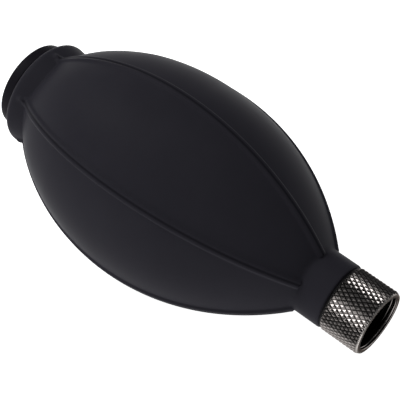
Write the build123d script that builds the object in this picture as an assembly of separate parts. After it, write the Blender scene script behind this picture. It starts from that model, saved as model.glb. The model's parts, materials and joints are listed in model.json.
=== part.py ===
from build123d import *
import math
import os

# Rubber dust blower bulb with a one-way air inlet at the rear and a knurled, threaded
# nozzle socket at the front. Millimetres. The bulb lies on its side: +X runs along its
# axis and out of the socket, +Z is up, and the origin is the centre of the socket's mouth.
# Every x below is measured from the mouth, so all the stations are negative.

# ---- bulb moulding ----
BELLY_RADIUS = 62.0  # radius of the arc that the belly's side follows
BELLY_X = -62.6  # station of the widest section
BELLY_R = 27.4  # radius there, between the ribs
WALL = 2.2  # rubber thickness of the belly
NECK_R = 8.5
NECK_FRONT_X = -11.05
BELLY_REAR_X = -101.2  # where the belly ends in a crease
CREASE_X = -101.6
CREASE_R = 13.5
COLLAR_X = -104.9  # crown of the rear collar
COLLAR_R = 14.2
COLLAR_EDGE_X = -106.1  # middle of the rounded rear edge
COLLAR_EDGE_R = 13.6
COLLAR_REAR_X = -106.6
COLLAR_REAR_R = 12.2
CAVITY_REAR_X = -100.0  # flat inner face of the thick rear boss

# ---- moulded ribs ----
RIB_COUNT = 6
RIB_PHASE = -11.1  # angle of the first rib, from +Z towards -Y
RIB_BEAD_R = 0.75
RIB_HEIGHT = 0.5

# ---- the two walls that the hand squeezes, on opposite panels between ribs ----
SQUEEZE_ANGLE = RIB_PHASE + 90.0  # from +Z towards -Y, half way between two ribs
PAD_HALF_LENGTH = 25.0
PAD_HALF_WIDTH = 10.2
PAD_GAP = 0.3

# ---- knurled nozzle sleeve ----
SLEEVE_R = 8.5
SLEEVE_LENGTH = 10.45
NOZZLE_THREAD_R = 6.96  # minor radius of the M15 x 1 female thread
NOZZLE_DEPTH = 6.0
JOINT_THREAD_R = 7.5  # major radius of the same thread, where it runs on the insert
THREAD_CLEARANCE = 0.05
SLEEVE_CHAMFER = 0.45

# ---- neck insert and the outlet valve in it ----
INSERT_FRONT_X = -6.8
INSERT_TAIL_R = 6.3
INSERT_TAIL_X = -19.0
INSERT_BORE_R = 4.2
BARB_R = 6.8
BARB_LENGTH = 1.6
BARB_STATIONS = (-13.2, -15.6)
GASKET_FRONT_X = -6.05
GASKET_INNER_R = 4.8
GASKET_OUTER_R = 7.4
WASHER_R = 8.0
OUTLET_BORE_R = 5.0
OUTLET_STEP_X = -12.5
OUTLET_STOP_LENGTH = 1.2
OUTLET_SEAT_LENGTH = 1.6
OUTLET_PORT_R = 2.8
OUTLET_DISC_R = 4.0
OUTLET_DISC_THICKNESS = 0.8
OUTLET_PIN_R = 0.6
OUTLET_PIN_END_X = -12.0

# ---- rear inlet valve ----
HOUSING_R = 7.0
HOUSING_BORE_R = 5.2
HOUSING_FRONT_X = -98.6
NOSE_R = 7.3
LIP_R = 8.6
SHOULDER_R = 10.9
HOUSING_GASKET_R = 10.3
SHOULDER_FRONT_X = -107.1
SHOULDER_REAR_X = -108.2
SEAT_LENGTH = 1.2
SEAT_PORT_R = 3.6
WEB_FRONT_X = -102.3
WEB_REAR_X = -103.5
HUB_R = 1.5
SPOKE_WIDTH = 1.0
SPOKE_COUNT = 3
STEM_R = 0.8
STEM_END_X = -107.2
STEM_CLEARANCE = 0.05
POPPET_R = 5.0
POPPET_THICKNESS = 1.0
SEAL_INNER_R = 3.9
SEAL_THICKNESS = 0.6
CLIP_FRONT_X = -106.3
CLIP_THICKNESS = 0.5
CLIP_R = 2.4

# ---- rear cap, filter and screen ----
CAP_R = 11.6
CAP_FRONT_X = -107.5
CAP_REAR_X = -110.3
CAP_EDGE_R = 0.4
FILTER_R = 8.4
FILTER_REAR_X = -109.0
SCREEN_THICKNESS = 0.25
AIR_HOLE_R = 1.1
AIR_RING_R = 5.0
AIR_HOLE_COUNT = 8
SCREEN_HOLE_R = 0.55
SCREEN_RING_STEP = 2.2
SCREEN_RINGS = (1, 2, 3)

# ---- springs ----
INLET_SPRING_R = 1.35
INLET_WIRE_R = 0.15
INLET_SPRING_TURNS = 3
OUTLET_SPRING_R = 1.2
OUTLET_WIRE_R = 0.12
OUTLET_SPRING_TURNS = 3

BELLY_CENTRE_R = BELLY_R - BELLY_RADIUS  # on the far side of the axis from the arc
AXIAL = Plane((0, 0, 0), x_dir=(1, 0, 0), z_dir=(0, -1, 0))  # sketch x = X, sketch y = Z


def arc_r(x, inset=0.0):
    """Radius of the belly at station x, on a surface inset from the outside."""
    return BELLY_CENTRE_R + math.sqrt((BELLY_RADIUS - inset) ** 2 - (x - BELLY_X) ** 2)


def arc_x(r, inset=0.0):
    """Front station at which the belly arc has radius r."""
    return BELLY_X + math.sqrt((BELLY_RADIUS - inset) ** 2 - (r - BELLY_CENTRE_R) ** 2)


def turned(edges):
    """Solid of revolution about X from a closed outline of edges in the axial plane."""
    return revolve(AXIAL * make_face(edges), Axis.X)


def turned_polygon(*points):
    """Solid of revolution about X from a polygon of (x, r) points."""
    return turned(Polyline(*points, close=True))


def tube(x0, x1, outer, inner=0.0):
    """Plain tube or disc about X between two stations."""
    return turned_polygon((x0, inner), (x0, outer), (x1, outer), (x1, inner))


def about_axis(shape, angle):
    """Turn a shape about X by an angle that is counted from +Z towards -Y."""
    return shape.rotate(Axis.X, angle)


def ring_of(shape, count, phase=0.0):
    """Copies of a shape spaced evenly about X."""
    return [about_axis(shape, phase + i * 360.0 / count) for i in range(count)]


def spider(x0, x1, rim_outer, rim_inner, hole):
    """Rim, hub and spokes: a guide that air passes and a stem slides in."""
    spoke_length = rim_inner + 0.3 - HUB_R / 2
    spoke = Box(abs(x1 - x0), SPOKE_WIDTH, spoke_length)
    spoke = Pos((x0 + x1) / 2, 0, HUB_R / 2 + spoke_length / 2) * spoke
    body = tube(x0, x1, rim_outer, rim_inner) + tube(x0, x1, HUB_R)
    for arm in ring_of(spoke, SPOKE_COUNT):
        body += arm
    return body - tube(x0 - 1, x1 + 1, hole)


def coil(x0, x1, radius, wire, turns):
    """Compression spring about X whose wire stays between two stations."""
    low, high = sorted((x0, x1))
    height = high - low - 2 * wire
    path = Helix(height / turns, height, radius, center=(low + wire, 0, 0), direction=(1, 0, 0))
    section = Plane(path @ 0, z_dir=path % 0) * Circle(wire)
    return sweep(section, path=path, is_frenet=True)


def belly_outline():
    """Outside of the rubber moulding, closed along the axis."""
    neck_end = arc_x(NECK_R)
    return [
        Line((NECK_FRONT_X, 0), (NECK_FRONT_X, NECK_R)),
        Line((NECK_FRONT_X, NECK_R), (neck_end, NECK_R)),
        ThreePointArc((neck_end, NECK_R), (BELLY_X, BELLY_R), (BELLY_REAR_X, arc_r(BELLY_REAR_X))),
        Line((BELLY_REAR_X, arc_r(BELLY_REAR_X)), (CREASE_X, CREASE_R)),
        Line((CREASE_X, CREASE_R), (COLLAR_X, COLLAR_R)),
        ThreePointArc((COLLAR_X, COLLAR_R), (COLLAR_EDGE_X, COLLAR_EDGE_R), (COLLAR_REAR_X, COLLAR_REAR_R)),
        Line((COLLAR_REAR_X, COLLAR_REAR_R), (COLLAR_REAR_X, 0)),
        Line((COLLAR_REAR_X, 0), (NECK_FRONT_X, 0)),
    ]


def cavity_outline():
    """Air space of the belly, closed along the axis."""
    front = arc_x(INSERT_TAIL_R, WALL)
    rear_r = arc_r(CAVITY_REAR_X, WALL)
    return [
        Line((front, 0), (front, INSERT_TAIL_R)),
        ThreePointArc((front, INSERT_TAIL_R), (BELLY_X, BELLY_R - WALL), (CAVITY_REAR_X, rear_r)),
        Line((CAVITY_REAR_X, rear_r), (CAVITY_REAR_X, 0)),
        Line((CAVITY_REAR_X, 0), (front, 0)),
    ]


def rib():
    """One half-round bead along the belly's arc, on the +Z side, rounded at both ends."""
    spine = BELLY_RADIUS - RIB_BEAD_R + RIB_HEIGHT
    front = math.asin((arc_x(NECK_R) - BELLY_X) / BELLY_RADIUS)
    rear = math.asin((BELLY_REAR_X - BELLY_X) / BELLY_RADIUS)
    centre = (BELLY_X, 0, BELLY_CENTRE_R)

    def on_spine(angle):
        return (BELLY_X + spine * math.sin(angle), 0, BELLY_CENTRE_R + spine * math.cos(angle))

    section = Plane(on_spine(rear), z_dir=(math.cos(rear), 0, -math.sin(rear))) * Circle(RIB_BEAD_R)
    sweep_angle = math.degrees(front - rear)
    bead = revolve(section, Axis(centre, (0, 1, 0)), sweep_angle)
    return bead + Pos(*on_spine(rear)) * Sphere(RIB_BEAD_R) + Pos(*on_spine(front)) * Sphere(RIB_BEAD_R)


def bulb_moulding():
    """The whole rubber bulb, before its squeezed walls are parted from it."""
    body = turned(belly_outline())
    for bead in ring_of(rib(), RIB_COUNT, RIB_PHASE):
        body += bead
    body -= turned(cavity_outline())
    body -= tube(COLLAR_REAR_X - 1, CAVITY_REAR_X + 1, HOUSING_R)
    return body - insert_outside()


def pad_prism(margin):
    """Straight oval prism through one squeezed panel, on the +Z side."""
    oval = Ellipse(PAD_HALF_LENGTH - margin, PAD_HALF_WIDTH - margin)
    return Pos(BELLY_X, 0, 0) * extrude(oval, BELLY_R + 5)


def insert_outside():
    """Outer form of the neck insert: threaded stub, tail and two barbs."""
    body = tube(NECK_FRONT_X, INSERT_FRONT_X, JOINT_THREAD_R - THREAD_CLEARANCE)
    body += tube(INSERT_TAIL_X - 1, NECK_FRONT_X, INSERT_TAIL_R)
    for x in BARB_STATIONS:
        body += turned_polygon((x, 0), (x, BARB_R), (x - BARB_LENGTH, INSERT_TAIL_R), (x - BARB_LENGTH, 0))
    return body


def make_neck_insert():
    body = insert_outside() - tube(INSERT_TAIL_X - 2, INSERT_TAIL_X, NECK_R)
    body -= tube(OUTLET_STEP_X - 1, INSERT_FRONT_X + 1, INSERT_BORE_R)
    return body - tube(INSERT_TAIL_X - 1, OUTLET_STEP_X, OUTLET_BORE_R)


def make_knurled_sleeve():
    rear = -SLEEVE_LENGTH
    outer = SLEEVE_R - SLEEVE_CHAMFER
    return turned_polygon(
        (0, NOZZLE_THREAD_R),
        (0, outer),
        (-SLEEVE_CHAMFER, SLEEVE_R),
        (rear + SLEEVE_CHAMFER, SLEEVE_R),
        (rear, outer),
        (rear, JOINT_THREAD_R),
        (-NOZZLE_DEPTH, JOINT_THREAD_R),
        (-NOZZLE_DEPTH, NOZZLE_THREAD_R),
    )


def make_neck_washer():
    return tube(NECK_FRONT_X, -SLEEVE_LENGTH, WASHER_R, JOINT_THREAD_R - THREAD_CLEARANCE)


def make_nozzle_gasket():
    return tube(INSERT_FRONT_X, GASKET_FRONT_X, GASKET_OUTER_R, GASKET_INNER_R)


def make_outlet_seat():
    return tube(INSERT_TAIL_X, INSERT_TAIL_X + OUTLET_SEAT_LENGTH, OUTLET_BORE_R, OUTLET_PORT_R)


def make_outlet_disc():
    seat_x = INSERT_TAIL_X + OUTLET_SEAT_LENGTH
    disc = tube(seat_x, seat_x + OUTLET_DISC_THICKNESS, OUTLET_DISC_R)
    return disc + tube(seat_x, OUTLET_PIN_END_X, OUTLET_PIN_R)


def make_outlet_stop():
    rear = OUTLET_STEP_X - OUTLET_STOP_LENGTH
    return spider(rear, OUTLET_STEP_X, OUTLET_BORE_R, INSERT_BORE_R, OUTLET_PIN_R + STEM_CLEARANCE)


def make_outlet_spring():
    disc_face = INSERT_TAIL_X + OUTLET_SEAT_LENGTH + OUTLET_DISC_THICKNESS
    stop_face = OUTLET_STEP_X - OUTLET_STOP_LENGTH
    return coil(disc_face, stop_face, OUTLET_SPRING_R, OUTLET_WIRE_R, OUTLET_SPRING_TURNS)


def make_valve_housing():
    body = turned_polygon(
        (HOUSING_FRONT_X, 0),
        (HOUSING_FRONT_X, NOSE_R),
        (CAVITY_REAR_X, LIP_R),
        (CAVITY_REAR_X, HOUSING_R),
        (SHOULDER_FRONT_X, HOUSING_R),
        (SHOULDER_FRONT_X, SHOULDER_R),
        (SHOULDER_REAR_X, SHOULDER_R),
        (SHOULDER_REAR_X, 0),
    )
    body -= tube(SHOULDER_REAR_X - 1, HOUSING_FRONT_X - SEAT_LENGTH, HOUSING_BORE_R)
    body -= tube(HOUSING_FRONT_X - SEAT_LENGTH - 1, HOUSING_FRONT_X + 1, SEAT_PORT_R)
    return body + spider(WEB_REAR_X, WEB_FRONT_X, HOUSING_R - 0.5, HOUSING_BORE_R, STEM_R + STEM_CLEARANCE)


def make_housing_gasket():
    return tube(SHOULDER_FRONT_X, COLLAR_REAR_X, HOUSING_GASKET_R, HOUSING_R)


def make_inlet_poppet():
    back = HOUSING_FRONT_X + SEAL_THICKNESS
    disc = tube(back, back + POPPET_THICKNESS, POPPET_R) + tube(HOUSING_FRONT_X, back, SEAL_INNER_R)
    return disc + tube(STEM_END_X, back, STEM_R)


def make_poppet_seal():
    return tube(HOUSING_FRONT_X, HOUSING_FRONT_X + SEAL_THICKNESS, POPPET_R, SEAL_INNER_R)


def make_poppet_spring():
    return coil(WEB_REAR_X, CLIP_FRONT_X, INLET_SPRING_R, INLET_WIRE_R, INLET_SPRING_TURNS)


def make_spring_clip():
    return tube(CLIP_FRONT_X - CLIP_THICKNESS, CLIP_FRONT_X, CLIP_R, STEM_R)


def make_filter_screen():
    body = tube(SHOULDER_REAR_X - SCREEN_THICKNESS, SHOULDER_REAR_X, FILTER_R)
    hole = Pos(SHOULDER_REAR_X, 0, 0) * Rot(0, 90, 0) * Cylinder(SCREEN_HOLE_R, 4 * SCREEN_THICKNESS)
    body -= hole
    for ring in SCREEN_RINGS:
        for cut in ring_of(Pos(0, 0, SCREEN_RING_STEP * ring) * hole, 6 * ring):
            body -= cut
    return body


def make_filter_disc():
    return tube(FILTER_REAR_X, SHOULDER_REAR_X - SCREEN_THICKNESS, FILTER_R)


def make_valve_cap():
    edge = 0.7071 * CAP_EDGE_R
    rounded = ThreePointArc(
        (CAP_REAR_X, CAP_R - CAP_EDGE_R),
        (CAP_REAR_X + CAP_EDGE_R - edge, CAP_R - CAP_EDGE_R + edge),
        (CAP_REAR_X + CAP_EDGE_R, CAP_R),
    )
    body = turned([
        Line((CAP_REAR_X, 0), (CAP_REAR_X, CAP_R - CAP_EDGE_R)),
        rounded,
        Line((CAP_REAR_X + CAP_EDGE_R, CAP_R), (CAP_FRONT_X, CAP_R)),
        Line((CAP_FRONT_X, CAP_R), (CAP_FRONT_X, 0)),
        Line((CAP_FRONT_X, 0), (CAP_REAR_X, 0)),
    ])
    body -= tube(SHOULDER_REAR_X, CAP_FRONT_X + 1, SHOULDER_R)
    body -= tube(FILTER_REAR_X, CAP_FRONT_X + 1, FILTER_R)
    hole = Pos(CAP_REAR_X, 0, 0) * Rot(0, 90, 0) * Cylinder(AIR_HOLE_R, 6)
    body -= hole
    for cut in ring_of(Pos(0, 0, AIR_RING_R) * hole, AIR_HOLE_COUNT):
        body -= cut
    return body


def make_bulb_parts():
    """The rubber moulding with its two squeezed walls as nodes of their own."""
    moulding = bulb_moulding()
    opposite = SQUEEZE_ANGLE + 180.0
    shell = moulding - about_axis(pad_prism(0.0), SQUEEZE_ANGLE) - about_axis(pad_prism(0.0), opposite)
    thumb = moulding & about_axis(pad_prism(PAD_GAP), SQUEEZE_ANGLE)
    finger = moulding & about_axis(pad_prism(PAD_GAP), opposite)
    return {"bulb_shell": shell, "thumb_wall": thumb, "finger_wall": finger}


def main():
    os.makedirs("parts", exist_ok=True)
    nodes = make_bulb_parts()
    nodes |= {
        "neck_insert": make_neck_insert(),
        "neck_washer": make_neck_washer(),
        "knurled_sleeve": make_knurled_sleeve(),
        "nozzle_gasket": make_nozzle_gasket(),
        "outlet_valve_seat": make_outlet_seat(),
        "outlet_valve_disc": make_outlet_disc(),
        "outlet_valve_stop": make_outlet_stop(),
        "outlet_valve_spring": make_outlet_spring(),
        "valve_housing": make_valve_housing(),
        "housing_gasket": make_housing_gasket(),
        "inlet_poppet": make_inlet_poppet(),
        "poppet_seal": make_poppet_seal(),
        "poppet_spring": make_poppet_spring(),
        "spring_clip": make_spring_clip(),
        "filter_screen": make_filter_screen(),
        "filter_disc": make_filter_disc(),
        "valve_cap": make_valve_cap(),
    }
    for name, shape in nodes.items():
        export_step(shape, f"parts/{name}.step")


main()
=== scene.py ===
import json
import math

import bmesh
import bpy
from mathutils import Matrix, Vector


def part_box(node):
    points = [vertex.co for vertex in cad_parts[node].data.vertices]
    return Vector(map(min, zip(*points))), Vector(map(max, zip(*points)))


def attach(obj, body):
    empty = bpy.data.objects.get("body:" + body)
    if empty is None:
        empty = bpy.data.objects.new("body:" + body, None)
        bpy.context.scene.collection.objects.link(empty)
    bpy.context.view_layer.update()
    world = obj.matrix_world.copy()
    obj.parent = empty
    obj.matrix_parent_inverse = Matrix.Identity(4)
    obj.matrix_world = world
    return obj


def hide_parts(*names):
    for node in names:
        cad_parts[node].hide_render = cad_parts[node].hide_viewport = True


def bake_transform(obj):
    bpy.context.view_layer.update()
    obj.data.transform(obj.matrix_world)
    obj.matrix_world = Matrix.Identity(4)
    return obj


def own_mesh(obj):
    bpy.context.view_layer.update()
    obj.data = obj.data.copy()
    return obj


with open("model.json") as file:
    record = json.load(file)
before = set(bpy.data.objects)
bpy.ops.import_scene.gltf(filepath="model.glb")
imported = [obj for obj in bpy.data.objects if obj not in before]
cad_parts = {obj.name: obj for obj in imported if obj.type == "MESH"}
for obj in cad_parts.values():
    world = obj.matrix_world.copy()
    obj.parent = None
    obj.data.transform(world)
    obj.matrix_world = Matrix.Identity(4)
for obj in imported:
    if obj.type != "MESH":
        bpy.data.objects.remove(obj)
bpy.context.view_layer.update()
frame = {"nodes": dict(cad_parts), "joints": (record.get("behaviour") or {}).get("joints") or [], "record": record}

bl_info = {
    "name": "Dust Blower Bulb",
    "version": (1, 0, 0),
    "blender": (4, 5, 0),
    "location": "View3D > Sidebar > Blower",
    "description": "Builds a ribbed rubber dust blower bulb with a knurled nozzle sleeve",
    "category": "Add Mesh",
}

MM = 0.001

# Places that come from the fixed frame. The bulb's axis is X, and its nozzle end is the origin.
SHELL_LOW, SHELL_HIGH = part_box("bulb_shell")
SLEEVE_LOW, SLEEVE_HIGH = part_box("knurled_sleeve")
INSERT_LOW, INSERT_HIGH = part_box("neck_insert")
CAP_LOW, CAP_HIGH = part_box("valve_cap")
HOUSING_LOW, HOUSING_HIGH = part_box("valve_housing")
BELLY_R = SHELL_HIGH.z
FLOOR_Z = SHELL_LOW.z
NECK_FRONT_X = SHELL_HIGH.x
COLLAR_REAR_X = SHELL_LOW.x
SQUEEZE = {
    j["child"]: -Vector(j["axis"]).normalized() for j in frame["joints"] if "squeeze" in j["name"]
}

# The rubber moulding
BELLY_ARC = 62.0 * MM
BELLY_X = -62.6 * MM
BELLY_ARC_CENTRE = BELLY_R - BELLY_ARC
NECK_R = 8.5 * MM
NECK_EDGE = 0.45 * MM
NECK_CREASE_X = -18.2 * MM
WALL = 2.2 * MM
CREASE_X = -101.6 * MM
COLLAR_X = -104.9 * MM
COLLAR_R = 14.2 * MM
COLLAR_TAPER = 0.2  # how fast the collar narrows from its crown towards the belly
COLLAR_EDGE = 2.0 * MM
BOSS_HEIGHT = 0.6 * MM  # of the small boss on the collar at the end of each rib
BOSS_HALF_WIDTH = 0.7 * MM
BOSS_HALF_LENGTH = 1.1 * MM
BOSS_X = CREASE_X - 1.0 * MM
FILLET = 0.6 * MM
CAVITY_REAR_X = -100.0 * MM
HOUSING_R = 7.0 * MM
TAIL_R = 6.3 * MM
RIB_COUNT = 6
RIB_TOP = 0.6  # shares of a rib's half width: its flat top, its foot, and the groove in the top
RIB_FOOT = 1.2
RIB_DIP = 0.45
SEAM_STEP = 0.15  # degrees between the mould seam and the next column, so both halves shade alike
CAVITY_ROWS = 60

# The screw joint: single-start thread of 1 mm pitch
CREST_R = 6.96 * MM
ROOT_R = 7.5 * MM
THREAD_CLEARANCE = 0.05 * MM
SOCKET_DEPTH = 6.0 * MM
THREAD_START = 0.35  # turns from +Z towards -Y to the place where the crest runs out of the mouth
THREAD_CREST = 0.27  # shares of the pitch from the crest's middle to the flank's two ends
THREAD_ROOT = 0.46
SOCKET_SHADE_STATIONS = (-1.6 * MM, -1.15 * MM)  # painted shade: the socket is painted black from here inwards
HIGHLIGHT_RADII = (7.6 * MM, 8.0 * MM)  # the mouth's outer edge, where a painted highlight makes the plating pale
HIGHLIGHT_STATIONS = (-0.5 * MM, -0.1 * MM)
BORE_R = 4.2 * MM
TAIL_BORE_R = 5.0 * MM
TAIL_BORE_X = -12.5 * MM
BARBS = (-13.2 * MM, -15.6 * MM)  # the front of each barb
BARB_HEIGHT = 0.5 * MM
BARB_LENGTH = 1.6 * MM

# The springs by node: the joint that shortens each one, and the radius of its wire
SPRINGS = {
    "poppet_spring": ("inlet_valve_lift", 0.15 * MM),
    "outlet_valve_spring": ("outlet_valve_lift", 0.12 * MM),
}
SPRING_TURNS = 5.0

# The studio. Each light has its name, place, width, height and power.
FLOOR_HALF = 20.0  # metres, so that its edge is past the horizon of a low view
LIGHTS = (
    ("rear_softbox", (-0.72, -0.1, 0.72), 0.42, 0.42, 5.2),
    ("top_softbox", (-0.05, 0.1, 1.0), 0.6, 0.6, 1.3),
    ("side_reflector", (0.0, -0.78, 0.3), 0.9, 0.5, 0.65),
)
CAMERA_PLACE = (68.4 * MM, -143.65 * MM, 260.34 * MM)
CAMERA_TURN = (35.888, -0.168, 40.545)  # degrees
CAMERA_LENS = 119.2


class BulbSizes(bpy.types.PropertyGroup):
    """Sizes and colour of the rubber moulding."""

    rib_half_width: bpy.props.FloatProperty(
        name="Rib Half Width", description="Half the width of a moulded rib", default=1.25 * MM,
        unit="LENGTH",
    )
    rib_height: bpy.props.FloatProperty(
        name="Rib Height", description="How far a rib stands off the panels", default=0.45 * MM,
        unit="LENGTH",
    )
    rib_groove: bpy.props.FloatProperty(
        name="Rib Groove", description="Depth of the fine groove along a rib's crown",
        default=0.14 * MM, unit="LENGTH",
    )
    panel_flatness: bpy.props.FloatProperty(
        name="Panel Flatness", description="0 is round between the ribs, 1 is flat",
        default=0.17, min=0, max=1,
    )
    neck_flatness: bpy.props.FloatProperty(
        name="Neck Flatness", description="The same, where the belly meets the neck",
        default=0.65, min=0, max=1,
    )
    collar_flatness: bpy.props.FloatProperty(
        name="Collar Flatness", description="The same, where the belly meets the collar",
        default=0.75, min=0, max=1,
    )
    rubber: bpy.props.FloatVectorProperty(
        name="Rubber", description="Colour of the bulb", subtype="COLOR",
        default=(0.0225, 0.0215, 0.0275), size=3,
    )


class SleeveSizes(bpy.types.PropertyGroup):
    """Sizes of the knurl and the threads."""

    knurl_count: bpy.props.IntProperty(
        name="Knurl Count", description="Ridges around the sleeve", default=46, min=8
    )
    knurl_rise: bpy.props.FloatProperty(
        name="Knurl Rise", description="Length of one diamond along the axis", default=2.01 * MM,
        unit="LENGTH",
    )
    knurl_depth: bpy.props.FloatProperty(
        name="Knurl Depth", description="Depth of the knurl's grooves", default=0.27 * MM, unit="LENGTH"
    )
    thread_pitch: bpy.props.FloatProperty(
        name="Thread Pitch", description="Distance between two thread crests", default=1.0 * MM,
        unit="LENGTH",
    )
    thread_depth: bpy.props.FloatProperty(
        name="Thread Depth", description="From a thread's root to its crest",
        default=ROOT_R - CREST_R, unit="LENGTH",
    )


class CapSizes(bpy.types.PropertyGroup):
    """Sizes of the rear cap's air holes."""

    hole_count: bpy.props.IntProperty(
        name="Air Holes", description="Holes in the outer ring", default=8, min=3
    )
    hole_radius: bpy.props.FloatProperty(
        name="Hole Radius", description="Radius of each air hole", default=1.1 * MM, unit="LENGTH"
    )
    ring_radius: bpy.props.FloatProperty(
        name="Ring Radius", description="Radius of the ring of air holes", default=5.0 * MM,
        unit="LENGTH",
    )


# ---------------------------------------------------------------- small tools


def linear(hex_code):
    """Linear RGBA from an sRGB hex colour."""
    channels = [int(hex_code[i : i + 2], 16) / 255 for i in (1, 3, 5)]
    return [c / 12.92 if c <= 0.04045 else ((c + 0.055) / 1.055) ** 2.4 for c in channels] + [1.0]


def feed(tree, node, inputs):
    """Sets or links a node's inputs, given in order or by name."""
    for key, value in inputs.items() if isinstance(inputs, dict) else enumerate(inputs):
        socket = node.inputs[key]
        if isinstance(value, bpy.types.NodeSocket):
            tree.links.new(value, socket)
        elif isinstance(value, bpy.types.Node):
            tree.links.new(value.outputs[0], socket)
        else:
            socket.default_value = value


def add(tree, kind, inputs=(), **settings):
    """Adds a node with its settings, and sets or links its inputs."""
    node = tree.nodes.new(kind)
    for key, value in settings.items():
        setattr(node, key, value)
    feed(tree, node, inputs)
    return node


def material(name):
    """A new material with its tree, its Principled shader and its Object coordinates."""
    made = bpy.data.materials.new(name)
    made.use_nodes = True
    tree = made.node_tree
    tree.nodes.clear()
    shader = add(tree, "ShaderNodeBsdfPrincipled")
    add(tree, "ShaderNodeOutputMaterial", {"Surface": shader})
    return made, tree, shader, add(tree, "ShaderNodeTexCoord").outputs["Object"]


def per_metre(millimetres):
    """Texture scale whose features are about this many millimetres across."""
    return 1.0 / (millimetres * MM)


def keep_mesh(name, mesh):
    """Object at the origin that shows a mesh."""
    obj = bpy.data.objects.new(name, mesh)
    bpy.context.scene.collection.objects.link(obj)
    return obj


def dressed(obj, coat):
    """Gives an object one material."""
    obj.data.materials.clear()
    obj.data.materials.append(coat)
    return obj


def grid_mesh(name, rows, ring, attributes=None, split=None):
    """Mesh through rows of points. The rows close on themselves; with ring, so do the columns,
    and without it the two open ends are filled. attributes gives a value for every point, and
    split says whether a face is cut across its falling (-1) or rising (1) corners, or not (0)."""
    width = len(rows[0])
    points = [p for row in rows for p in row]
    faces = []
    for i in range(len(rows)):
        j = (i + 1) % len(rows)
        for k in range(width if ring else width - 1):
            m = (k + 1) % width
            here, beside, over, ahead = i * width + k, i * width + m, j * width + m, j * width + k
            way = split(i, k) if split else 0
            if way > 0:
                faces += [(here, beside, over), (here, over, ahead)]
            elif way < 0:
                faces += [(here, beside, ahead), (beside, over, ahead)]
            else:
                faces.append((here, beside, over, ahead))
    if not ring:
        faces.append([i * width for i in range(len(rows))])
        faces.append([i * width + width - 1 for i in reversed(range(len(rows)))])
    mesh = bpy.data.meshes.new(name)
    mesh.from_pydata(points, [], faces)
    for key, values in (attributes or {}).items():
        flat = [v for row in values for v in row]
        if isinstance(flat[0], (int, float)):
            mesh.attributes.new(key, "FLOAT", "POINT").data.foreach_set("value", flat)
        else:
            vectors = [c for v in flat for c in v]
            mesh.attributes.new(key, "FLOAT_VECTOR", "POINT").data.foreach_set("vector", vectors)
    mesh.shade_smooth()
    return mesh


def clean(mesh, merge=1e-7, sharp=None, faceted=None):
    """Closes poles and seams, points the faces outwards, marks edges sharper than an angle, and
    leaves the faces beyond the faceted radius flat."""
    work = bmesh.new()
    work.from_mesh(mesh)
    bmesh.ops.remove_doubles(work, verts=work.verts, dist=merge)
    bmesh.ops.dissolve_degenerate(work, dist=merge, edges=work.edges)
    bmesh.ops.recalc_face_normals(work, faces=work.faces)
    for face in work.faces:
        middle = face.calc_center_median()
        face.smooth = faceted is None or math.hypot(middle.y, middle.z) < faceted
    if sharp is not None:
        for edge in work.edges:
            edge.smooth = edge.calc_face_angle(0) < sharp
    work.to_mesh(mesh)
    work.free()
    return mesh


def without_poles(mesh):
    """Turns the fans of triangles around X into single flat faces, which are cut more cleanly."""
    work = bmesh.new()
    work.from_mesh(mesh)
    poles = [vert for vert in work.verts if math.hypot(vert.co.y, vert.co.z) < 1e-6]
    bmesh.ops.dissolve_verts(work, verts=poles)
    work.to_mesh(mesh)
    work.free()
    return mesh


def polar(x, r, angle):
    """Point at station x and radius r, with the angle counted from +Z towards -Y."""
    return (x, -r * math.sin(angle), r * math.cos(angle))


def turned_mesh(name, outline, count, split=None):
    """Solid of revolution about X. Each outline point is (x, r, knurl share, thread share)."""
    angles = [2 * math.pi * k / count for k in range(count)]
    rows = [[polar(x, r, a) for a in angles] for x, r, _, _ in outline]
    out = [[polar(0, 1, a) for a in angles] for _ in outline]
    attributes = {
        "outward": out,
        "knurl": [[knurl] * count for _, _, knurl, _ in outline],
        "thread": [[thread] * count for _, _, _, thread in outline],
    }
    return grid_mesh(name, rows, True, attributes, split)


def span(x0, r0, x1, r1, step, knurl=0.0, thread=0.0):
    """Outline points from one place up to, but not at, the next, about a step apart."""
    count = max(1, round(math.hypot(x1 - x0, r1 - r0) / step))
    return [(x0 + (x1 - x0) * i / count, r0 + (r1 - r0) * i / count, knurl, thread) for i in range(count)]


def corner(x, r, radius, start, end, steps=4):
    """Outline points of a rounded edge about a centre, between two angles in degrees from +X."""
    turns = [math.radians(start + (end - start) * i / steps) for i in range(steps + 1)]
    return [(x + radius * math.cos(t), r + radius * math.sin(t), 0.0, 0.0) for t in turns]


# ---------------------------------------------------------------- node trees

MATH = "ShaderNodeMath"
VECTOR_MATH = "ShaderNodeVectorMath"
MAP_RANGE = "ShaderNodeMapRange"
ATTRIBUTE = "GeometryNodeInputNamedAttribute"
STORE = "GeometryNodeStoreNamedAttribute"
COIL_POINTS = 240
DRILL_DEPTH = 8 * MM
COIL_RISE = (0.08, 0.92)  # shares of the wire between which the coil rises; its ends are closed


def new_tree(name, sizes):
    """Empty geometry tree with a geometry, a material and named size inputs."""
    tree = bpy.data.node_groups.new(name, "GeometryNodeTree")
    tree.interface.new_socket("Geometry", in_out="INPUT", socket_type="NodeSocketGeometry")
    tree.interface.new_socket("Material", in_out="INPUT", socket_type="NodeSocketMaterial")
    for size, kind in sizes.items():
        tree.interface.new_socket(size, in_out="INPUT", socket_type=kind)
    tree.interface.new_socket("Geometry", in_out="OUTPUT", socket_type="NodeSocketGeometry")
    return tree, add(tree, "NodeGroupInput").outputs


def close_tree(tree, geometry, coat):
    """Ends a tree: real geometry, one material, and the output."""
    real = add(tree, "GeometryNodeRealizeInstances", {"Geometry": geometry})
    painted = add(tree, "GeometryNodeSetMaterial", {"Geometry": real, "Material": coat})
    add(tree, "NodeGroupOutput", {"Geometry": painted})


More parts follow.
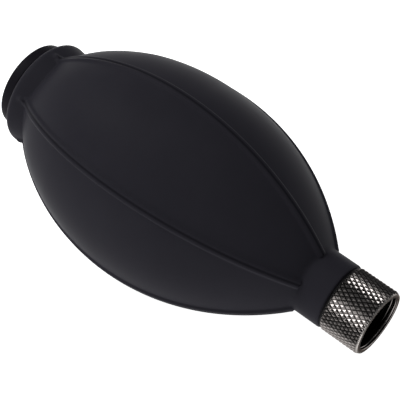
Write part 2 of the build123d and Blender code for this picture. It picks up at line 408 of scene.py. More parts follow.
def place_on_axis(tree):
    """Station along X, angle from +Z towards -Y, and radius of every point."""
    parts = add(tree, "ShaderNodeSeparateXYZ", [add(tree, "GeometryNodeInputPosition")])
    x, y, z = parts.outputs
    aside = add(tree, MATH, (y, -1.0), operation="MULTIPLY")
    angle = add(tree, MATH, (aside, z), operation="ARCTAN2")
    across = add(tree, "ShaderNodeCombineXYZ", {"Y": y, "Z": z})
    return x, angle, add(tree, VECTOR_MATH, [across], operation="LENGTH").outputs["Value"]


def to_nearest(tree, value):
    """How far a value is from the nearest whole number, 0 to 0.5."""
    whole = add(tree, MATH, [value], operation="ROUND")
    apart = add(tree, MATH, (value, whole), operation="SUBTRACT")
    return add(tree, MATH, [apart], operation="ABSOLUTE")


def pushed(tree, geometry, amount):
    """Moves every point along its outward direction by an amount."""
    outward = add(tree, ATTRIBUTE, {"Name": "outward"}, data_type="FLOAT_VECTOR")
    away = add(tree, VECTOR_MATH, {0: outward, "Scale": amount}, operation="SCALE")
    return add(tree, "GeometryNodeSetPosition", {"Geometry": geometry, "Offset": away})


def rib_tree():
    """Low flat-topped ribs along the bulb, with the fine groove of the mould line on each crown, and a mask for
    the painted shade in that groove.
    """
    sizes = {
        "Count": "NodeSocketFloat",
        "Phase": "NodeSocketFloat",
        "Half Width": "NodeSocketFloat",
        "Height": "NodeSocketFloat",
        "Groove Depth": "NodeSocketFloat",
    }
    tree, given = new_tree("Moulded ribs", sizes)
    _, angle, radius = place_on_axis(tree)
    turned = add(tree, MATH, (angle, given["Phase"]), operation="SUBTRACT")
    pitch = add(tree, MATH, (2 * math.pi, given["Count"]), operation="DIVIDE")
    apart = to_nearest(tree, add(tree, MATH, (turned, pitch), operation="DIVIDE"))
    aside = add(tree, MATH, (apart, pitch), operation="MULTIPLY")
    arc = add(tree, MATH, (aside, radius), operation="MULTIPLY")
    share = add(tree, MATH, (arc, given["Half Width"]), operation="DIVIDE")
    top = add(tree, MAP_RANGE, (share, RIB_TOP, RIB_FOOT, 1.0, 0.0), interpolation_type="SMOOTHSTEP")
    dip = add(tree, MAP_RANGE, (share, 0.0, RIB_DIP, 1.0, 0.0), interpolation_type="SMOOTHSTEP")
    raised = add(tree, MATH, (top, given["Height"]), operation="MULTIPLY")
    sunk = add(tree, MATH, (dip, given["Groove Depth"]), operation="MULTIPLY")
    ribbed = add(tree, ATTRIBUTE, {"Name": "ribbed"})
    relief = add(tree, MATH, (raised, sunk), operation="SUBTRACT")
    shaped = pushed(tree, given["Geometry"], add(tree, MATH, (relief, ribbed), operation="MULTIPLY"))
    # painted shade: mask of the crown groove, which the rubber paints darker
    groove_shade = add(tree, MATH, (dip, ribbed), operation="MULTIPLY")
    marked = add(tree, STORE, {"Geometry": shaped, "Name": "groove_shade", "Value": groove_shade})
    close_tree(tree, marked, given["Material"])
    return tree


def relief_tree():
    """Diamond knurl cut by two crossing sets of helical grooves, and a single-start thread, with masks for the
    painted shade in the hollows and the painted highlight on the mouth's edge.
    """
    sizes = {
        "Knurl Count": "NodeSocketFloat",
        "Knurl Rise": "NodeSocketFloat",
        "Knurl Depth": "NodeSocketFloat",
        "Thread Pitch": "NodeSocketFloat",
        "Thread Depth": "NodeSocketFloat",
    }
    tree, given = new_tree("Knurl and thread", sizes)
    x, angle, radius = place_on_axis(tree)
    turn = add(tree, MATH, (angle, 2 * math.pi), operation="DIVIDE")
    around = add(tree, MATH, (turn, given["Knurl Count"]), operation="MULTIPLY")
    along = add(tree, MATH, (x, given["Knurl Rise"]), operation="DIVIDE")
    grooves = []
    for crossing in ("ADD", "SUBTRACT"):
        away = to_nearest(tree, add(tree, MATH, (around, along), operation=crossing))
        grooves.append(add(tree, MAP_RANGE, (away, 0.0, 0.5, 1.0, 0.0)))
    diamonds = add(tree, MATH, grooves, operation="MAXIMUM")
    cut = add(tree, MATH, (diamonds, add(tree, ATTRIBUTE, {"Name": "knurl"})), operation="MULTIPLY")
    threaded = add(tree, ATTRIBUTE, {"Name": "thread"})
    start = add(tree, MATH, (turn, THREAD_START), operation="SUBTRACT")
    turns = add(tree, MATH, (x, given["Thread Pitch"]), operation="DIVIDE")
    flank = to_nearest(tree, add(tree, MATH, (turns, start), operation="SUBTRACT"))
    wave = add(tree, MAP_RANGE, (flank, THREAD_CREST, THREAD_ROOT, 0.0, 1.0))
    thread = add(tree, MATH, (wave, threaded), operation="MULTIPLY")
    outwards = add(tree, MATH, (thread, given["Thread Depth"]), operation="MULTIPLY")
    inwards = add(tree, MATH, (cut, given["Knurl Depth"]), operation="MULTIPLY")
    shaped = pushed(tree, given["Geometry"], add(tree, MATH, (outwards, inwards), operation="SUBTRACT"))
    # painted shade: mask of the knurl valleys, the thread roots and the socket's deep end, which the material
    # paints near-black
    inner = add(tree, MAP_RANGE, (x, *SOCKET_SHADE_STATIONS, 1.0, 0.0), interpolation_type="SMOOTHSTEP")
    black = add(tree, MATH, (inner, threaded), operation="MULTIPLY")
    groove_shade = add(tree, MATH, (add(tree, MATH, (cut, thread), operation="ADD"), black), operation="ADD")
    # painted highlight: mask of the mouth's outer edge, which the material paints pale
    rim = add(tree, MAP_RANGE, (radius, *HIGHLIGHT_RADII, 0.0, 1.0), interpolation_type="SMOOTHSTEP")
    front = add(tree, MAP_RANGE, (x, *HIGHLIGHT_STATIONS, 0.0, 1.0), interpolation_type="SMOOTHSTEP")
    rim_highlight = add(tree, MATH, (rim, front), operation="MULTIPLY")
    marked = add(tree, STORE, {"Geometry": shaped, "Name": "groove_shade", "Value": groove_shade})
    marked = add(tree, STORE, {"Geometry": marked, "Name": "rim_highlight", "Value": rim_highlight})
    close_tree(tree, marked, given["Material"])
    return tree


def coil_tree():
    """Round wire wound about X between two stations, with closed end turns."""
    sizes = {
        "Start": "NodeSocketFloat",
        "Length": "NodeSocketFloat",
        "Turns": "NodeSocketFloat",
        "Coil Radius": "NodeSocketFloat",
        "Wire Radius": "NodeSocketFloat",
    }
    tree, given = new_tree("Coil spring", sizes)
    line = add(tree, "GeometryNodeMeshLine", {"Count": COIL_POINTS})
    curve = add(tree, "GeometryNodeMeshToCurve", {"Mesh": line})
    index = add(tree, "GeometryNodeInputIndex")
    share = add(tree, MATH, (index, COIL_POINTS - 1.0), operation="DIVIDE")
    wound = add(tree, MATH, (share, given["Turns"]), operation="MULTIPLY")
    angle = add(tree, MATH, (wound, 2 * math.pi), operation="MULTIPLY")
    lifted = add(tree, MAP_RANGE, (share, *COIL_RISE, 0.0, 1.0), interpolation_type="SMOOTHSTEP")
    rise = add(tree, MATH, (lifted, given["Length"]), operation="MULTIPLY")
    x = add(tree, MATH, (given["Start"], rise), operation="ADD")
    waves = (add(tree, MATH, [angle], operation=wave) for wave in ("COSINE", "SINE"))
    y, z = (add(tree, MATH, (wave, given["Coil Radius"]), operation="MULTIPLY") for wave in waves)
    point = add(tree, "ShaderNodeCombineXYZ", (x, y, z))
    coiled = add(tree, "GeometryNodeSetPosition", {"Geometry": curve, "Position": point})
    circle = {"Resolution": 10, "Radius": given["Wire Radius"]}
    section = add(tree, "GeometryNodeCurvePrimitiveCircle", circle)
    swept = {"Curve": coiled, "Profile Curve": section, "Fill Caps": True}
    wire = add(tree, "GeometryNodeCurveToMesh", swept)
    close_tree(tree, wire, given["Material"])
    return tree


def perforation_tree():
    """A centre hole and a ring of holes along X, cut through a solid."""
    sizes = {
        "Count": "NodeSocketInt",
        "Hole Radius": "NodeSocketFloat",
        "Ring Radius": "NodeSocketFloat",
        "Station": "NodeSocketFloat",
    }
    tree, given = new_tree("Air holes", sizes)
    around = {"Vertices": given["Count"], "Radius": given["Ring Radius"]}
    ring = add(tree, "GeometryNodeMeshCircle", around)
    centre = add(tree, "GeometryNodeMeshLine", {"Count": 1})
    points = add(tree, "GeometryNodeJoinGeometry")
    tree.links.new(ring.outputs[0], points.inputs[0])
    tree.links.new(centre.outputs[0], points.inputs[0])
    bore = {"Vertices": 40, "Radius": given["Hole Radius"], "Depth": DRILL_DEPTH}
    drill = add(tree, "GeometryNodeMeshCylinder", bore)
    drills = add(tree, "GeometryNodeInstanceOnPoints", {"Points": points, "Instance": drill})
    station = add(tree, "ShaderNodeCombineXYZ", {"X": given["Station"]})
    lying = {"Geometry": drills, "Translation": station, "Rotation": (0, math.pi / 2, 0)}
    real = add(tree, "GeometryNodeRealizeInstances", [add(tree, "GeometryNodeTransform", lying)])
    solids = {"Mesh 1": given["Geometry"], "Mesh 2": real}
    cut = add(tree, "GeometryNodeMeshBoolean", solids, operation="DIFFERENCE")
    close_tree(tree, cut.outputs["Mesh"], given["Material"])
    return tree


def grown(name, tree, coat, values, base=None):
    """Runs a tree once on a base mesh and returns the plain mesh that it makes."""
    holder = keep_mesh(name + "_base", base or bpy.data.meshes.new(name))
    modifier = holder.modifiers.new(tree.name, "NODES")
    modifier.node_group = tree
    for item in tree.interface.items_tree:
        if item.in_out == "INPUT" and item.name in values:
            modifier[item.identifier] = values[item.name]
        elif item.in_out == "INPUT" and item.name == "Material":
            modifier[item.identifier] = coat
    graph = bpy.context.evaluated_depsgraph_get()
    mesh = bpy.data.meshes.new_from_object(holder.evaluated_get(graph))
    mesh.name = name
    holder.modifiers.remove(modifier)
    bpy.data.objects.remove(holder)
    return mesh


# ---------------------------------------------------------------- materials

NOISE = "ShaderNodeTexNoise"
MIX = "ShaderNodeMix"
BUMP = "ShaderNodeBump"
MIX_FACTOR, MIX_FIRST, MIX_SECOND, MIX_COLOUR = 0, 6, 7, 2  # a Mix node's sockets for colours


def moulded_rubber():
    """Vulcanised natural rubber, compression moulded: near-black, satin, faintly blue, with the
    fine pebble of a blasted mould and a slight grey bloom that handling leaves uneven. The real
    pebble is about 0.05 mm, and is drawn at 0.5 mm so that it shows."""
    made, tree, shader, place = material("Moulded black rubber")
    colour = [*bpy.context.scene.blower_bulb.rubber, 1.0]
    clouds = {"Vector": place, "Scale": per_metre(14), "Detail": 5.0, "Roughness": 0.6}
    bloom = add(tree, NOISE, clouds)
    speck = add(tree, NOISE, {"Vector": place, "Scale": per_metre(0.5), "Detail": 3.0})
    shades = {MIX_FACTOR: bloom, MIX_FIRST: colour, MIX_SECOND: linear("#302f35")}
    grey = add(tree, MIX, shades, data_type="RGBA").outputs[MIX_COLOUR]
    # painted shade: the fine groove on each rib's crown is painted darker than the rubber
    groove_shade = add(tree, "ShaderNodeAttribute", attribute_name="groove_shade").outputs["Fac"]
    shades = {MIX_FACTOR: groove_shade, MIX_FIRST: grey, MIX_SECOND: linear("#1c1b20")}
    bloom_and_groove_shade = add(tree, MIX, shades, data_type="RGBA").outputs[MIX_COLOUR]
    rough = add(tree, MAP_RANGE, (bloom, 0.3, 0.7, 0.4, 0.48))
    pebble = add(tree, BUMP, {"Height": speck, "Strength": 0.12, "Distance": 0.05 * MM})
    feed(tree, shader, {"Base Color": bloom_and_groove_shade, "Roughness": rough, "Normal": pebble})
    feed(tree, shader, {"IOR": 1.5, "Specular IOR Level": 0.012})
    return made


def seal_rubber():
    """Nitrile rubber, punched from sheet or moulded: matt black with a fine talc haze."""
    made, tree, shader, place = material("Nitrile seal rubber")
    haze = add(tree, NOISE, {"Vector": place, "Scale": per_metre(0.9), "Detail": 4.0})
    shades = {MIX_FACTOR: haze, MIX_FIRST: linear("#0b0b0c"), MIX_SECOND: linear("#171719")}
    colour = add(tree, MIX, shades, data_type="RGBA").outputs[MIX_COLOUR]
    grain = add(tree, BUMP, {"Height": haze, "Strength": 0.2, "Distance": 0.04 * MM})
    feed(tree, shader, {"Base Color": colour, "Normal": grain, "Roughness": 0.62})
    feed(tree, shader, {"Specular IOR Level": 0.1})
    return made


def plated_metal():
    """Black-nickel plated metal, turned and form-knurled: grey polished flanks, painted shade that turns the knurl
    valleys, the thread roots and the deep socket near-black, a painted highlight that makes the mouth's outer edge
    pale, and fine lathe lines around the axis. The real lines are about 0.05 mm apart, and are drawn at 0.12 mm so
    that they show."""
    made, tree, shader, place = material("Black nickel plated metal")
    groove_shade = add(tree, "ShaderNodeAttribute", attribute_name="groove_shade").outputs["Fac"]
    rim_highlight = add(tree, "ShaderNodeAttribute", attribute_name="rim_highlight").outputs["Fac"]
    wear = add(tree, NOISE, {"Vector": place, "Scale": per_metre(2.5), "Detail": 4.0})
    shades = {MIX_FACTOR: wear, MIX_FIRST: linear("#827d7b"), MIX_SECOND: linear("#999491")}
    plate = add(tree, MIX, shades, data_type="RGBA").outputs[MIX_COLOUR]
    # painted highlight: the mouth's outer edge is painted pale
    shades = {MIX_FACTOR: rim_highlight, MIX_FIRST: plate, MIX_SECOND: linear("#bab5b1")}
    highlighted = add(tree, MIX, shades, data_type="RGBA").outputs[MIX_COLOUR]
    # painted shade: knurl valleys, thread roots and the deep socket are painted near-black
    valley_shade = add(tree, MAP_RANGE, (groove_shade, 0.5, 0.95, 0.0, 1.0))
    shades = {MIX_FACTOR: valley_shade, MIX_FIRST: highlighted, MIX_SECOND: linear("#0c0b0b")}
    colour = add(tree, MIX, shades, data_type="RGBA").outputs[MIX_COLOUR]
    stretch = add(tree, "ShaderNodeMapping", {"Vector": place, "Scale": (per_metre(0.12), 40.0, 40.0)})
    lines = add(tree, NOISE, {"Vector": stretch, "Scale": 1.0, "Detail": 2.0})
    turned = add(tree, BUMP, {"Height": lines, "Strength": 0.25, "Distance": 0.01 * MM})
    rough = add(tree, MAP_RANGE, (wear, 0.3, 0.7, 0.16, 0.26))
    feed(tree, shader, {"Base Color": colour, "Roughness": rough, "Normal": turned})
    feed(tree, shader, {"Metallic": 1.0, "Specular Tint": linear("#606060")})
    return made


def moulded_plastic(name, dark, light, roughness):
    """Injection-moulded plastic: black or dark grey, with the soft gloss of a spark-eroded mould.
    The real grain is about 0.1 mm, and is drawn at 0.35 mm so that it shows."""
    made, tree, shader, place = material(name)
    spark = add(tree, NOISE, {"Vector": place, "Scale": per_metre(0.35), "Detail": 3.0})
    shades = {MIX_FACTOR: spark, MIX_FIRST: linear(dark), MIX_SECOND: linear(light)}
    colour = add(tree, MIX, shades, data_type="RGBA").outputs[MIX_COLOUR]
    grain = add(tree, BUMP, {"Height": spark, "Strength": 0.15, "Distance": 0.03 * MM})
    feed(tree, shader, {"Base Color": colour, "Normal": grain, "Roughness": roughness})
    feed(tree, shader, {"IOR": 1.53, "Specular IOR Level": 0.02})
    return made


def spring_wire():
    """Drawn stainless spring steel: bright, with fine draw marks and a faint straw heat tint. The
    real marks are finer, and are drawn at 0.2 mm so that they show."""
    made, tree, shader, place = material("Drawn spring steel")
    marks = add(tree, NOISE, {"Vector": place, "Scale": per_metre(0.2), "Detail": 3.0})
    shades = {MIX_FACTOR: marks, MIX_FIRST: linear("#b8b6b2"), MIX_SECOND: linear("#d6cfc0")}
    colour = add(tree, MIX, shades, data_type="RGBA").outputs[MIX_COLOUR]
    drawn = add(tree, BUMP, {"Height": marks, "Strength": 0.2, "Distance": 0.01 * MM})
    feed(tree, shader, {"Base Color": colour, "Normal": drawn, "Roughness": 0.28})
    feed(tree, shader, {"Metallic": 1.0})
    return made


def needled_felt():
    """Needled polyester felt: off-white tangled fibres with soft, uneven shade. Real fibres are
    about 0.02 mm thick, and the tangle is drawn at 0.25 mm so that it shows."""
    made, tree, shader, place = material("Needled filter felt")
    tangle = {"Vector": place, "Scale": per_metre(0.25), "Detail": 6.0, "Distortion": 2.0}
    fibre = add(tree, NOISE, tangle)
    shades = {MIX_FACTOR: fibre, MIX_FIRST: linear("#a9a69c"), MIX_SECOND: linear("#dedbd0")}
    colour = add(tree, MIX, shades, data_type="RGBA").outputs[MIX_COLOUR]
    fuzz = add(tree, BUMP, {"Height": fibre, "Strength": 0.6, "Distance": 0.1 * MM})
    feed(tree, shader, {"Base Color": colour, "Normal": fuzz, "Roughness": 0.9})
    feed(tree, shader, {"Sheen Weight": 0.3})
    return made


def studio_white():
    """Matt white paint on the studio's floor, with the faintest roller texture."""
    made, tree, shader, place = material("Matt white studio floor")
    roller = add(tree, NOISE, {"Vector": place, "Scale": per_metre(6), "Detail": 2.0})
    texture = add(tree, BUMP, {"Height": roller, "Strength": 0.02, "Distance": 0.1 * MM})
    feed(tree, shader, {"Base Color": linear("#f7f7f7"), "Normal": texture, "Roughness": 0.9})
    feed(tree, shader, {"Emission Color": (1, 1, 1, 1), "Emission Strength": 0.98})
    return made


# ---------------------------------------------------------------- the rubber moulding


def arc_radius(x, inset=0.0):
    """Radius of the belly's arc at station x, on a surface inset from the outside."""
    return BELLY_ARC_CENTRE + math.sqrt(max((BELLY_ARC - inset) ** 2 - (x - BELLY_X) ** 2, 0.0))


def softened(first, second, radius):
    """The larger of two values, with a fillet where they are close."""
    near = max(radius - abs(first - second), 0.0) / radius
    return max(first, second) + near * near * radius / 4


def rib_phase():
    """Angle of the first rib. The squeezed walls lie half way between two ribs."""
    push = SQUEEZE["thumb_wall"]
    return math.atan2(-push.y, push.z) - math.pi / 2


def from_rib(angle):
    """Angle to the nearest rib."""
    pitch = 2 * math.pi / RIB_COUNT
    turns = (angle - rib_phase()) / pitch
    return abs(turns - round(turns)) * pitch


def flatness(x, sizes):
    """How flat the panels are at a station: more so towards the neck, and pinched at the collar."""
    if x > BELLY_X:
        toward_neck = (x - BELLY_X) / (NECK_FRONT_X - 7 * MM - BELLY_X)
        return sizes.panel_flatness + (sizes.neck_flatness - sizes.panel_flatness) * min(toward_neck, 1) ** 3
    behind = min((BELLY_X - x) / (20 * MM), 1)
    pinch = math.exp(min((CREASE_X + 0.6 * MM - x) / (2.6 * MM), 0))
    return sizes.panel_flatness * (1 - behind) + sizes.collar_flatness * pinch


def belly_surface(x, angle, sizes):
    """Radius of the belly without its ribs: an arc along the axis, eased towards flat panels."""
    half = math.pi / RIB_COUNT
    chord = math.cos(half) / math.cos(half - from_rib(angle))
    return arc_radius(x) * (1 + flatness(x, sizes) * (chord - 1))


def collar_surface(x, angle):
    """Radius of the rear collar, with the small boss that ends each rib."""
    if x > COLLAR_X:
        along = x - COLLAR_X
        radius = COLLAR_R - COLLAR_TAPER * along * along / (along + 0.8 * MM)
    else:
        off = (COLLAR_X - x) / (COLLAR_X - COLLAR_REAR_X)
        radius = COLLAR_R - COLLAR_EDGE * (1 - math.sqrt(max(1 - off * off, 0.0)))
    aside = from_rib(angle) * COLLAR_R / BOSS_HALF_WIDTH
    ahead = (x - BOSS_X) / BOSS_HALF_LENGTH
    return radius + BOSS_HEIGHT * math.exp(-aside * aside - ahead * ahead)


def skin_radius(x, angle, sizes):
    """Outer radius of the moulding, and the share of a rib's full height that it carries."""
    belly = belly_surface(x, angle, sizes)
    if x > BELLY_X:
        end = NECK_R
        clear = (belly - end) / (0.5 * MM) + 0.6
    else:
        end = collar_surface(x, angle)
        clear = (x - CREASE_X + 0.9 * MM) / (1.2 * MM)
    share = min(max(clear, 0.0), 1.0)
    return softened(belly, end, FILLET), share * share * (3 - 2 * share)


def skin_stations():
    """Stations along the moulding, closer together at its creases."""
    stations = []
    x = NECK_FRONT_X - 0.5 * MM
    while x > COLLAR_X:
        stations.append(x)
        near = min(abs(x - NECK_CREASE_X), abs(x - CREASE_X))
        x -= 0.13 * MM if near < 2 * MM else 0.28 * MM if near < 6 * MM else 0.5 * MM
    edge = COLLAR_X - COLLAR_REAR_X
    return stations + [COLLAR_X - edge * math.sin(math.pi / 2 * i / 9) for i in range(10)]


def skin_columns(start):
    """Angles across one half, closer together at the ribs. The halves meet along two ribs."""
    pitch = 360 / RIB_COUNT
    across_rib = [0.0, SEAM_STEP] + [0.35 * i for i in range(1, 13)]
    beside_rib = [5.2 + 1.2 * i for i in range(6)]
    half_panel = across_rib + beside_rib + [13.8 + 2.7 * i for i in range(6)] + [pitch / 2]
    panel = half_panel + [pitch - s for s in reversed(half_panel[:-1])]
    angles = [panel[0]]
    for i in range(RIB_COUNT // 2):
        angles += [i * pitch + s for s in panel[1:]]
    return [start + math.radians(a) for a in angles]


def make_skin_half(name, start, coat, tree):
    """One half of the rubber bulb, from the mould seam on one rib to that on the opposite rib."""
    sizes = bpy.context.scene.blower_bulb
    columns = skin_columns(start)
    rows, out, ribbed = [], [], []

    def put(x, radii, shares=None, slope=0.0):
        lean = math.hypot(1.0, slope)
        rows.append([polar(x, r, a) for r, a in zip(radii, columns)])
        out.append([Vector(polar(-slope, 1, a)) / lean for a in columns])
        ribbed.append(shares or [0.0] * len(columns))

    def ring(x, r):
        put(x, [r] * len(columns))

    for i in range(4):
        ahead, outer = (NECK_EDGE * wave(math.pi / 2 * i / 4) for wave in (math.cos, math.sin))
        ring(NECK_FRONT_X - NECK_EDGE + ahead, NECK_R - NECK_EDGE + outer)
    for x in skin_stations():
        found = [skin_radius(x, a, sizes) for a in columns]
        slope = (arc_radius(x + 0.1 * MM) - arc_radius(x - 0.1 * MM)) / (0.2 * MM)
        put(x, [r for r, _ in found], [s for _, s in found], slope)
    ring(COLLAR_REAR_X, HOUSING_R)
    ring(CAVITY_REAR_X, HOUSING_R)
    cavity_front = BELLY_X + math.sqrt((BELLY_ARC - WALL) ** 2 - (TAIL_R - BELLY_ARC_CENTRE) ** 2)
    ring(CAVITY_REAR_X, arc_radius(CAVITY_REAR_X, WALL))
    for i in range(1, CAVITY_ROWS):
        x = CAVITY_REAR_X + (cavity_front - CAVITY_REAR_X) * i / CAVITY_ROWS
        arc = arc_radius(x, WALL)
        put(x, [min(arc, belly_surface(x, a, sizes) - 0.8 * WALL) for a in columns])
    ring(cavity_front, TAIL_R)
    ring(NECK_FRONT_X, TAIL_R)
    mesh = grid_mesh(name, rows, False, {"outward": out, "ribbed": ribbed})
    clean(mesh)
    values = {
        "Count": float(RIB_COUNT),
        "Phase": rib_phase(),
        "Half Width": sizes.rib_half_width,
        "Height": sizes.rib_height,
        "Groove Depth": sizes.rib_groove,
    }
    mesh = clean(grown(name, tree, coat, values, mesh), sharp=math.radians(50))
    half = dressed(keep_mesh(name, mesh), coat)
    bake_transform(half)
    return half


class BLOWER_OT_bulb(bpy.types.Operator):
    """Make the ribbed rubber bulb as two halves that meet on the mould seam"""

    bl_idname = "blower.bulb"
    bl_label = "Rubber Bulb"

    def execute(self, context):
        coat = moulded_rubber()
        tree = rib_tree()
        thumb = make_skin_half("bulb_skin_thumb_side", rib_phase(), coat, tree)
        make_skin_half("bulb_skin_finger_side", rib_phase() + math.pi, coat, tree)
        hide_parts("bulb_shell", "thumb_wall", "finger_wall")
        return {"FINISHED"}


# ---------------------------------------------------------------- sleeve and neck insert


def relief_values():
    """Sizes of the knurl and thread, by the names of the tree's inputs."""
    sizes = bpy.context.scene.blower_sleeve
    return {
        "Knurl Count": float(sizes.knurl_count),
        "Knurl Rise": sizes.knurl_rise,
        "Knurl Depth": sizes.knurl_depth,
        "Thread Pitch": sizes.thread_pitch,
        "Thread Depth": sizes.thread_depth,
    }


def knurl_row():
    """Axial step of the sleeve's grid: four rows and four columns to a diamond."""
    return bpy.context.scene.blower_sleeve.knurl_rise / 4


def sleeve_outline():
    """Closed outline of the sleeve: knurled outside, plain rim, threaded socket, thread relief
    where the gasket sits, and the thread that runs on the neck insert."""
    rear, outer = SLEEVE_LOW.x, SLEEVE_HIGH.z
    bevel, mouth, fine = 0.42 * MM, 0.15 * MM, 0.1 * MM
    relief_rear = -SOCKET_DEPTH - 0.9 * MM
    row = knurl_row()
    rows = round(-rear / row) - 1
    points = [(rear, outer - 0.15 * MM, 1.0, 0.0)]
    points += [(-row * i, outer, 1.0, 0.0) for i in range(rows, 0, -1)]
    points += span(0, outer - bevel, 0, CREST_R + mouth, 0.3 * MM)
    points += span(0, CREST_R + mouth, -mouth, CREST_R, fine)
    points += span(-mouth, CREST_R, -SOCKET_DEPTH, CREST_R, fine, thread=1.0)
    points += span(-SOCKET_DEPTH, CREST_R, -SOCKET_DEPTH, ROOT_R, 0.2 * MM)
    points += span(-SOCKET_DEPTH, ROOT_R, relief_rear, ROOT_R, 0.3 * MM)
    points += span(relief_rear, ROOT_R, relief_rear - 0.3 * MM, CREST_R, fine)
    points += span(relief_rear - 0.3 * MM, CREST_R, rear + 0.5 * MM, CREST_R, fine, thread=1.0)
    points += span(rear + 0.5 * MM, CREST_R, rear, ROOT_R, fine)
    points += span(rear, ROOT_R, rear, outer - bevel, 0.3 * MM)
    return points


def insert_outline():
    """Closed outline of the neck insert: threaded stub, barbed tail and stepped bore."""
    front, tail = INSERT_HIGH.x, INSERT_LOW.x
    root = CREST_R - THREAD_CLEARANCE
    fine = 0.1 * MM
    points = span(front, BORE_R, front, root - 0.3 * MM, 0.5 * MM)
    points += span(front, root - 0.3 * MM, front - 0.3 * MM, root, fine)
    points += span(front - 0.3 * MM, root, NECK_FRONT_X, root, fine, thread=1.0)
    points += [(NECK_FRONT_X, root, 0, 0), (NECK_FRONT_X, TAIL_R, 0, 0)]
    for x in BARBS:
        points += [(x, TAIL_R, 0, 0), (x, TAIL_R + BARB_HEIGHT, 0, 0), (x - BARB_LENGTH, TAIL_R, 0, 0)]
    points += [(tail, TAIL_R, 0, 0), (tail, TAIL_BORE_R, 0, 0)]
    points += [(TAIL_BORE_X, TAIL_BORE_R, 0, 0), (TAIL_BORE_X, BORE_R, 0, 0)]
    return points


def make_sleeve(coat, tree):
    """The knurled sleeve. Its faces are cut along the grooves, so that every diamond is crisp."""
    outline = sleeve_outline()

    def along_groove(i, k):
        first, second = outline[i], outline[(i + 1) % len(outline)]
        if max(first[2], second[2]) < 1.0:
            return 0
        row = round(first[0] / knurl_row())
        if (k - row) % 4 == 0:
            return 1
        return -1 if (k + row + 1) % 4 == 0 else 0

    count = 4 * bpy.context.scene.blower_sleeve.knurl_count
    base = turned_mesh("knurled_sleeve_metal", outline, count, along_groove)
    mesh = grown("knurled_sleeve_metal", tree, coat, relief_values(), base)
    mesh = clean(mesh, faceted=ROOT_R + 0.4 * MM)
    return dressed(keep_mesh("knurled_sleeve_metal", mesh), coat)


class BLOWER_OT_sleeve(bpy.types.Operator):
    """Make the knurled sleeve with its threads, and the threaded neck insert that it runs on"""

    bl_idname = "blower.sleeve"
    bl_label = "Knurled Sleeve"

    def execute(self, context):
        coat = plated_metal()
        tree = relief_tree()
        sleeve = make_sleeve(coat, tree)
        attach(sleeve, "sleeve")
        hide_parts("knurled_sleeve")
        base = turned_mesh("neck_insert_metal", insert_outline(), 120)
        mesh = grown("neck_insert_metal", tree, coat, relief_values(), base)
        mesh = clean(mesh, sharp=math.radians(40))
        insert = dressed(keep_mesh("neck_insert_metal", mesh), coat)
        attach(insert, "bulb")
        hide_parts("neck_insert")
        return {"FINISHED"}


# ---------------------------------------------------------------- rear cap, springs and small parts


def cap_outline():
    """Closed outline of the rear cap: rounded rim, shallow dished face and stepped pocket."""
    front, rear, outer = CAP_HIGH.x, CAP_LOW.x, CAP_HIGH.z
    rim, dish = 0.4 * MM, 0.35 * MM
    shoulder_r, filter_r = HOUSING_HIGH.z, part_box("filter_disc")[1].z
    shoulder_x, filter_x = HOUSING_LOW.x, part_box("filter_disc")[0].x
    points = [(filter_x, 0, 0, 0), (filter_x, filter_r, 0, 0), (shoulder_x, filter_r, 0, 0)]
    points += [(shoulder_x, shoulder_r, 0, 0), (front, shoulder_r, 0, 0)]
    points += corner(front - 0.2 * MM, outer - 0.2 * MM, 0.2 * MM, 0, 90, 3)
    points += corner(rear + rim, outer - rim, rim, 90, 180, 8)
    points += [(rear, outer - 2.4 * MM, 0, 0)]
    points += [(rear + dish, outer - 3.2 * MM, 0, 0), (rear + dish, 0, 0, 0)]
    return points


def make_cap():
    """The rear cap with its air holes."""
    sizes = bpy.context.scene.blower_cap
    plastic = moulded_plastic("Satin black ABS", "#19181c", "#222026", 0.45)
    base = without_poles(clean(turned_mesh("valve_cap_moulded", cap_outline(), 128)))
    values = {
        "Count": sizes.hole_count,
        "Hole Radius": sizes.hole_radius,
        "Ring Radius": sizes.ring_radius,
        "Station": CAP_LOW.x,
    }
    mesh = grown("valve_cap_moulded", perforation_tree(), plastic, values, base)
    mesh = clean(mesh, sharp=math.radians(18))
    return dressed(keep_mesh("valve_cap_moulded", mesh), plastic)


def make_spring(node, wire_r, wire, tree):
    """A wound spring that fills the box of its node."""
    low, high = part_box(node)
    values = {
        "Start": low.x + wire_r,
        "Length": high.x - low.x - 2 * wire_r,
        "Turns": SPRING_TURNS,
        "Coil Radius": high.z - wire_r,
        "Wire Radius": wire_r,
    }
    mesh = clean(grown(node + "_wire", tree, wire, values))
    return dressed(keep_mesh(node + "_wire", mesh), wire)


class BLOWER_OT_valve(bpy.types.Operator):
    """Make the rear cap with its air holes and the two valve springs"""

    bl_idname = "blower.valve"
    bl_label = "Cap and Springs"

    def execute(self, context):
        cap = make_cap()
        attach(cap, "bulb")
        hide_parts("valve_cap")
        wire = spring_wire()
        tree = coil_tree()
        for node, (joint, wire_r) in SPRINGS.items():
            spring = make_spring(node, wire_r, wire, tree)
            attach(spring, "bulb")
            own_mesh(spring)
            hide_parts(node)
        return {"FINISHED"}


class BLOWER_OT_small_parts(bpy.types.Operator):
    """Give the carried-over parts their materials"""

    bl_idname = "blower.small_parts"
    bl_label = "Small Parts"

    def execute(self, context):
        coats = {
            "seal_rubber": seal_rubber(),
            "valve_plastic": moulded_plastic("Moulded acetal", "#2c2c30", "#3a3a3f", 0.38),
            "spring_steel": spring_wire(),
            "filter_felt": needled_felt(),
        }
        slots = {part["node"]: part["material_slot"] for part in frame["record"]["subparts"]}
        for name, node in frame["nodes"].items():
            if slots[name] in coats and not node.hide_render:
                node.data.materials.clear()
                node.data.materials.append(coats[slots[name]])
        return {"FINISHED"}


# ---------------------------------------------------------------- stage


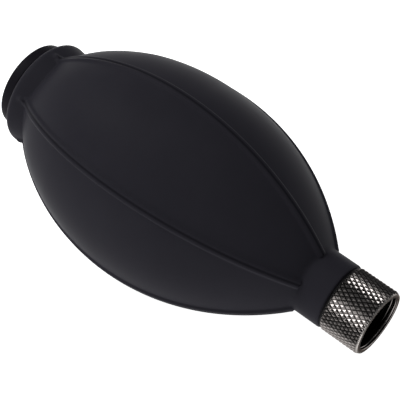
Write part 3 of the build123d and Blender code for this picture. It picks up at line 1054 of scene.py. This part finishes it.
def softbox(name, place, aim, width, height, power):
    """Rectangular area light that faces a point."""
    lamp = bpy.data.lights.new(name, "AREA")
    lamp.shape = "RECTANGLE"
    lamp.size = width
    lamp.size_y = height
    lamp.energy = power
    obj = bpy.data.objects.new(name, lamp)
    obj.location = place
    obj.rotation_euler = (Vector(place) - Vector(aim)).to_track_quat("Z", "Y").to_euler()
    bpy.context.scene.collection.objects.link(obj)
    return obj


class BLOWER_OT_stage(bpy.types.Operator):
    """Make the floor, the soft studio lights and the camera"""

    bl_idname = "blower.stage"
    bl_label = "Studio Stage"

    def execute(self, context):
        floor_mesh = bpy.data.meshes.new("studio_floor")
        sides = ((-1, -1), (1, -1), (1, 1), (-1, 1))
        corners = [(FLOOR_HALF * x, FLOOR_HALF * y, FLOOR_Z) for x, y in sides]
        floor_mesh.from_pydata(corners, [], [(0, 1, 2, 3)])
        floor = keep_mesh("studio_floor", floor_mesh)
        floor.data.materials.append(studio_white())

        for name, place, width, height, power in LIGHTS:
            softbox(name, place, (BELLY_X, 0, 0), width, height, power)

        world = bpy.data.worlds.new("studio_air")
        world.use_nodes = True
        context.scene.world = world
        air = world.node_tree.nodes["Background"]
        air.inputs["Color"].default_value = linear("#e9ecf0")
        air.inputs["Strength"].default_value = 0.12
        context.scene.view_settings.view_transform = "Standard"

        camera_data = bpy.data.cameras.new("camera")
        camera_data.lens = CAMERA_LENS
        camera_data.sensor_width = 36.0
        camera_data.clip_start = 0.01
        camera = bpy.data.objects.new("camera", camera_data)
        camera.location = CAMERA_PLACE
        camera.rotation_euler = [math.radians(turn) for turn in CAMERA_TURN]
        context.scene.collection.objects.link(camera)
        context.scene.camera = camera
        return {"FINISHED"}


class BLOWER_PT_panel(bpy.types.Panel):
    """Buttons that build the blower"""

    bl_idname = "BLOWER_PT_panel"
    bl_label = "Dust Blower Bulb"
    bl_space_type = "VIEW_3D"
    bl_region_type = "UI"
    bl_category = "Blower"

    def draw(self, context):
        for group in (context.scene.blower_bulb, context.scene.blower_sleeve, context.scene.blower_cap):
            for key in group.__annotations__:
                self.layout.prop(group, key)
        for operator in OPERATORS:
            self.layout.operator(operator.bl_idname)


OPERATORS = (BLOWER_OT_bulb, BLOWER_OT_sleeve, BLOWER_OT_valve, BLOWER_OT_small_parts, BLOWER_OT_stage)
GROUPS = {"blower_bulb": BulbSizes, "blower_sleeve": SleeveSizes, "blower_cap": CapSizes}


def register():
    for group in GROUPS.values():
        bpy.utils.register_class(group)
    for key, group in GROUPS.items():
        setattr(bpy.types.Scene, key, bpy.props.PointerProperty(type=group))
    for kind in (*OPERATORS, BLOWER_PT_panel):
        bpy.utils.register_class(kind)


def unregister():
    for kind in (BLOWER_PT_panel, *reversed(OPERATORS)):
        bpy.utils.unregister_class(kind)
    for key in GROUPS:
        delattr(bpy.types.Scene, key)
    for group in GROUPS.values():
        bpy.utils.unregister_class(group)


def main():
    register()
    bpy.ops.blower.bulb()
    bpy.ops.blower.sleeve()
    bpy.ops.blower.valve()
    bpy.ops.blower.small_parts()
    bpy.ops.blower.stage()


if __name__ == "__main__":
    main()
